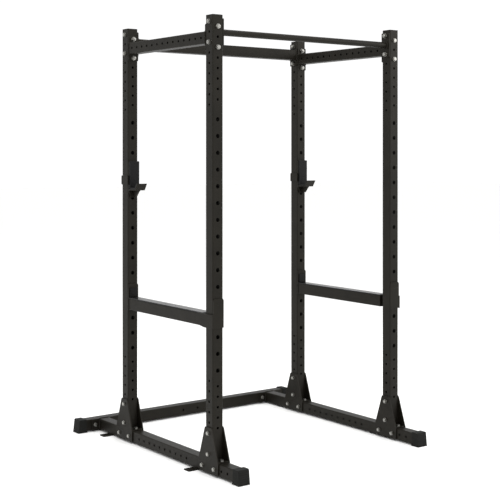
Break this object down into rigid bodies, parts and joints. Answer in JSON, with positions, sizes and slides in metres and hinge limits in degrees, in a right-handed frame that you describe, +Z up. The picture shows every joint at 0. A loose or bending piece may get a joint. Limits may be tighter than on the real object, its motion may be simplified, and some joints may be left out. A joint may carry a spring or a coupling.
{
  "type": "power cage",
  "caption": "Free-standing four-post power cage of square tube with a pull-up bar, two hung bar cups and two hung safety arms that swing out.",
  "frame": {"origin": "centre of the footprint, on the floor", "axes": "+Z up, +X to the lifter's right as they look in from the front, +Y from the front uprights to the rear base tube"},
  "size_m": [1.474, 1.392, 2.2036],
  "materials": {
    "black_powder_coat": "satin powder coat",
    "zinc_steel": "bright zinc plate",
    "boot_rubber": "moulded matt",
    "black_plastic": "moulded satin",
    "black_strip": "planed satin"
  },
  "bodies": {
    "frame": {"upright_front_left": "black_powder_coat", "upright_front_right": "black_powder_coat", "upright_rear_left": "black_powder_coat", "upright_rear_right": "black_powder_coat", "top_cap_front_left": "black_plastic", "top_cap_front_right": "black_plastic", "top_cap_rear_left": "black_plastic", "top_cap_rear_right": "black_plastic", "base_side_left": "black_powder_coat", "base_side_right": "black_powder_coat", "base_rear": "black_powder_coat", "boot_front_left": "boot_rubber", "boot_front_right": "boot_rubber", "boot_rear_left": "boot_rubber", "boot_rear_right": "boot_rubber", "gusset_front_left_outer": "black_powder_coat", "gusset_front_left_inner": "black_powder_coat", "gusset_front_right_outer": "black_powder_coat", "gusset_front_right_inner": "black_powder_coat", "gusset_rear_left_outer": "black_powder_coat", "gusset_rear_left_inner": "black_powder_coat", "gusset_rear_right_outer": "black_powder_coat", "gusset_rear_right_inner": "black_powder_coat", "top_side_beam_left": "black_powder_coat", "top_side_beam_right": "black_powder_coat", "top_rear_beam": "black_powder_coat", "pull_up_bar": "black_powder_coat", "top_bolts": "zinc_steel", "top_washers": "zinc_steel", "top_nuts": "zinc_steel", "gusset_bolts": "zinc_steel", "gusset_washers": "zinc_steel", "gusset_nuts": "zinc_steel", "foot_bolts": "zinc_steel", "foot_washers": "zinc_steel", "foot_weld_nuts": "zinc_steel", "rear_joint_bolts": "zinc_steel", "rear_joint_washers": "zinc_steel", "rear_joint_nuts": "zinc_steel"},
    "cup_left_hook": {"cup_left_pin": "zinc_steel"},
    "cup_left": {"cup_left_bracket": "black_powder_coat", "cup_left_back_liner": "black_plastic", "cup_left_saddle": "black_plastic", "cup_left_screws": "zinc_steel"},
    "cup_right_hook": {"cup_right_pin": "zinc_steel"},
    "cup_right": {"cup_right_bracket": "black_powder_coat", "cup_right_back_liner": "black_plastic", "cup_right_saddle": "black_plastic", "cup_right_screws": "zinc_steel"},
    "safety_left": {"safety_left_arm": "black_powder_coat", "safety_left_pins": "zinc_steel", "safety_left_liner": "black_strip", "safety_left_pad": "black_plastic", "safety_left_screws": "zinc_steel"},
    "safety_right": {"safety_right_arm": "black_powder_coat", "safety_right_pins": "zinc_steel", "safety_right_liner": "black_strip", "safety_right_pad": "black_plastic", "safety_right_screws": "zinc_steel"}
  },
  "joints": [
    {"name": "cup_left_pull", "type": "slide", "parent": "frame", "child": "cup_left_hook", "axis": [0, -1, 0], "range_m": [0, 0.055]},
    {"name": "cup_left_swing", "type": "hinge", "parent": "cup_left_hook", "child": "cup_left", "pos_m": [-0.58, 0.308, 1.46], "axis": [0, 1, 0], "range_deg": [0, 90]},
    {"name": "cup_right_pull", "type": "slide", "parent": "frame", "child": "cup_right_hook", "axis": [0, -1, 0], "range_m": [0, 0.055]},
    {"name": "cup_right_swing", "type": "hinge", "parent": "cup_right_hook", "child": "cup_right", "pos_m": [0.58, 0.308, 1.46], "axis": [0, 1, 0], "range_deg": [0, 90]},
    {"name": "safety_left_swing", "type": "hinge", "parent": "frame", "child": "safety_left", "pos_m": [-0.58, -0.057, 0.82], "axis": [0, 1, 0], "range_deg": [0, 90]},
    {"name": "safety_right_swing", "type": "hinge", "parent": "frame", "child": "safety_right", "pos_m": [0.58, -0.057, 0.82], "axis": [0, -1, 0], "range_deg": [0, 90]}
  ]
}
